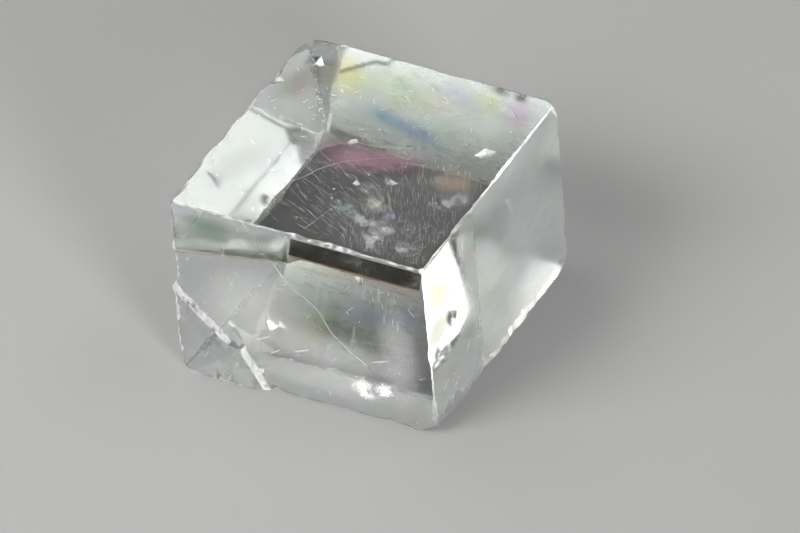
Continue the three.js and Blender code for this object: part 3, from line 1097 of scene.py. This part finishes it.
class CALCITE_OT_marks(bpy.types.Operator):
    """Add the scratches, chips, cracks and veils to the crystal"""

    bl_idname = "calcite.marks"
    bl_label = "Marks"

    def execute(self, context):
        settings = context.scene.calcite_marks
        crystal = bpy.data.objects[CRYSTAL]
        rng = random.Random(MARKS_SEED)
        veils = [veil_pattern(seed) for seed in range(VEIL_PATTERNS)]
        chips = [chip_pattern(seed) for seed in range(CHIP_PATTERNS)]
        spindle = scratch_pattern()
        slabs = []
        made = []
        for face, share, points in TRACES:
            made.append(traced(points, face, settings.crack * share, rng))
        for first, second, size in CHIPS:
            made.append(strewn(chips, rng, "top", (first, second), size))
        for _ in range(settings.flecks):
            place = rng.uniform(*FLECKED[0]), rng.uniform(*FLECKED[1])
            made.append(strewn(chips, rng, "top", place, rng.uniform(*FLECK_SIZES)))
        for family in SCRATCHES:
            for _ in range(round(family[1] * settings.scratches)):
                made.append(scratched(spindle, rng, family))
        for count, middle, spread, largest in BRUISES:
            for _ in range(round(count * settings.bruises)):
                place = rng.gauss(middle[0], spread[0]), rng.gauss(middle[1], spread[1])
                made.append(strewn(chips, rng, "front", place, rng.uniform(*FLAKE_SHARES) * largest))
        for start, end, width in STREAKS:
            made.append(lay(spindle, BRUISED, "front", start, end, width, SCRATCH_HEIGHT, 0.0))
        for face, start, end, width, tint, strength in TINTS_AND_SHADE:
            veil = lay(rng.choice(veils), TINT_SHADE_AND_FIRE, face, start, end, width, VEIL_THICKNESS, VEIL_LIFT)
            made.append(paint(veil, tint, strength))
        # The bands are painted shade, dark and olive, and painted fire, thin and orange, laid over the front.
        for face, start, end, width, tint, strength, upper in SHADE_AND_FIRE_BANDS:
            slabs.append(slab_pattern(upper))
            painted_band = lay(slabs[-1], TINT_SHADE_AND_FIRE, face, start, end, width, VEIL_THICKNESS, VEIL_LIFT)
            made.append(paint(painted_band, tint, strength))
        for face, start, end, width, tint, strength, evenness in WISPS:
            veil = lay(rng.choice(veils), WHITE, face, start, end, width, VEIL_THICKNESS, WISP_LIFT)
            made.append(paint(veil, tint, strength, evenness))
        for pattern in (*veils, *chips, spindle, *slabs):
            bpy.data.objects.remove(pattern)
        choose(crystal, *made)
        bpy.ops.object.join()
        bpy.ops.object.shade_flat()
        return {"FINISHED"}


# The camera, by where the photograph was taken from. Its lens and sensor are in millimetres.
VIEW_AZIMUTH = math.radians(16.52)
VIEW_ELEVATION = math.radians(49.09)
VIEW_ROLL = math.radians(2.907)
VIEW_DISTANCE = 507.25 * MM
VIEW_AIM = Vector((-2.87, -0.46, 0.33)) * MM
LENS = 180.0
SENSOR = 36.0
NEAR_CLIP = 10 * MM


def place_camera(scene):
    """A long lens at the photograph's angle."""
    bpy.ops.object.camera_add()
    camera = bpy.context.object
    camera.name = "camera"
    camera.data.lens = LENS
    camera.data.sensor_width = SENSOR
    camera.data.clip_start = NEAR_CLIP
    away = Vector(
        (
            math.sin(VIEW_AZIMUTH) * math.cos(VIEW_ELEVATION),
            -math.cos(VIEW_AZIMUTH) * math.cos(VIEW_ELEVATION),
            math.sin(VIEW_ELEVATION),
        )
    )
    level = Vector((math.cos(VIEW_AZIMUTH), math.sin(VIEW_AZIMUTH), 0))
    upright = away.cross(level)
    right = level * math.cos(VIEW_ROLL) + upright * math.sin(VIEW_ROLL)
    up = away.cross(right)
    turned = Matrix((right, up, away)).transposed()
    camera.matrix_world = Matrix.Translation(NEAR_CORNER + VIEW_AIM + away * VIEW_DISTANCE) @ turned.to_4x4()
    scene.camera = camera


def add_light(name, towards, distance, width, height, power):
    """A soft light that faces the crystal from a direction."""
    direction = Vector(towards).normalized()
    bpy.ops.object.light_add(type="AREA")
    light = bpy.context.object
    light.name = name
    light.data.shape = "RECTANGLE"
    light.data.size = width
    light.data.size_y = height
    light.data.energy = power
    turned = direction.to_track_quat("Z", "Y")
    light.matrix_world = Matrix.LocRotScale(direction * distance, turned, Vector((1, 1, 1)))


FLOOR_SIZE = 6.0
FLOOR_GAP = 0.02 * MM
FLOOR_ROUGHNESS = 0.6


def pale_floor(settings):
    """The floor's plain finish."""
    material, _, shader, _ = new_material("pale_floor")
    shader.inputs["Base Color"].default_value = (*settings.floor, 1)
    shader.inputs["Roughness"].default_value = FLOOR_ROUGHNESS
    return material


# The surround's brightness, by height from the horizon up.
SURROUND = [(0.0, 0.60), (0.16, 0.40), (0.40, 0.05), (1.0, 0.03)]


def studio_surround():
    """A surround that is pale at the horizon and dark overhead."""
    world = bpy.data.worlds.new("surround")
    world.use_nodes = True
    tree = world.node_tree
    way = tree.nodes.new("ShaderNodeTexCoord").outputs["Generated"]
    height = node(tree, "ShaderNodeSeparateXYZ", None, {0: way})
    greys = [(place, (level, level, level)) for place, level in SURROUND]
    brightness = colour_ramp(tree, height.outputs["Z"], greys)
    tree.links.new(brightness, tree.nodes["Background"].inputs["Color"])
    return world


# The studio lights: name, direction from the crystal, distance, width and height in metres.
LIGHTS = [
    ("key", (0.5536, 0.7608, 1.1702), 1.5, 0.67, 0.535),
    ("side", (-0.56, 0.33, 0.76), 0.8, 0.45, 0.45),
    ("left", (-0.62, -0.42, 0.66), 0.8, 0.4, 0.4),
    ("right", (0.765, -0.597, 0.242), 0.9, 0.3, 0.3),
    ("low", (-0.27, -0.784, 0.559), 2.5, 1.25, 1.25),
    ("fill", (0.36, -0.66, 0.66), 0.9, 0.62, 0.62),
    ("over", (0.076, -0.43, 0.90), 2.0, 0.3, 0.3),
]

# How often light may bounce before it is dropped, so that it gets through the crystal and its veils.
BOUNCES = {
    "max_bounces": 32,
    "glossy_bounces": 24,
    "transmission_bounces": 24,
    "transparent_max_bounces": 48,
}


class CALCITE_OT_stage(bpy.types.Operator):
    """Set the plain pale floor, the soft studio lights and the camera"""

    bl_idname = "calcite.stage"
    bl_label = "Stage"

    def execute(self, context):
        settings = context.scene.calcite_stage
        scene = context.scene
        bpy.ops.object.select_all(action="DESELECT")
        bpy.ops.mesh.primitive_plane_add(size=FLOOR_SIZE, location=(0, 0, LOW.z - FLOOR_GAP))
        floor = context.object
        floor.name = "floor"
        floor.data.materials.append(pale_floor(settings))
        scene.world = studio_surround()
        for name, *place in LIGHTS:
            add_light(name, *place, getattr(settings, name))
        place_camera(scene)
        scene.view_settings.view_transform = "Standard"
        for name, most in BOUNCES.items():
            setattr(scene.cycles, name, most)
        return {"FINISHED"}


class CALCITE_PT_panel(bpy.types.Panel):
    """Calcite specimen tools"""

    bl_label = "Calcite"
    bl_space_type = "VIEW_3D"
    bl_region_type = "UI"
    bl_category = "Calcite"

    def draw(self, context):
        column = self.layout.column()
        for tool in (CALCITE_OT_crystal, CALCITE_OT_marks, CALCITE_OT_stage):
            column.operator(tool.bl_idname)


CLASSES = (
    CalciteCrystalSettings,
    CalciteMarksSettings,
    CalciteStageSettings,
    CALCITE_OT_crystal,
    CALCITE_OT_marks,
    CALCITE_OT_stage,
    CALCITE_PT_panel,
)


def register():
    for made in CLASSES:
        bpy.utils.register_class(made)
    bpy.types.Scene.calcite_crystal = bpy.props.PointerProperty(type=CalciteCrystalSettings)
    bpy.types.Scene.calcite_marks = bpy.props.PointerProperty(type=CalciteMarksSettings)
    bpy.types.Scene.calcite_stage = bpy.props.PointerProperty(type=CalciteStageSettings)


def unregister():
    del bpy.types.Scene.calcite_stage
    del bpy.types.Scene.calcite_marks
    del bpy.types.Scene.calcite_crystal
    for made in reversed(CLASSES):
        bpy.utils.unregister_class(made)


def main():
    register()
    bpy.ops.calcite.crystal()
    bpy.ops.calcite.marks()
    bpy.ops.calcite.stage()


if __name__ == "__main__":
    main()
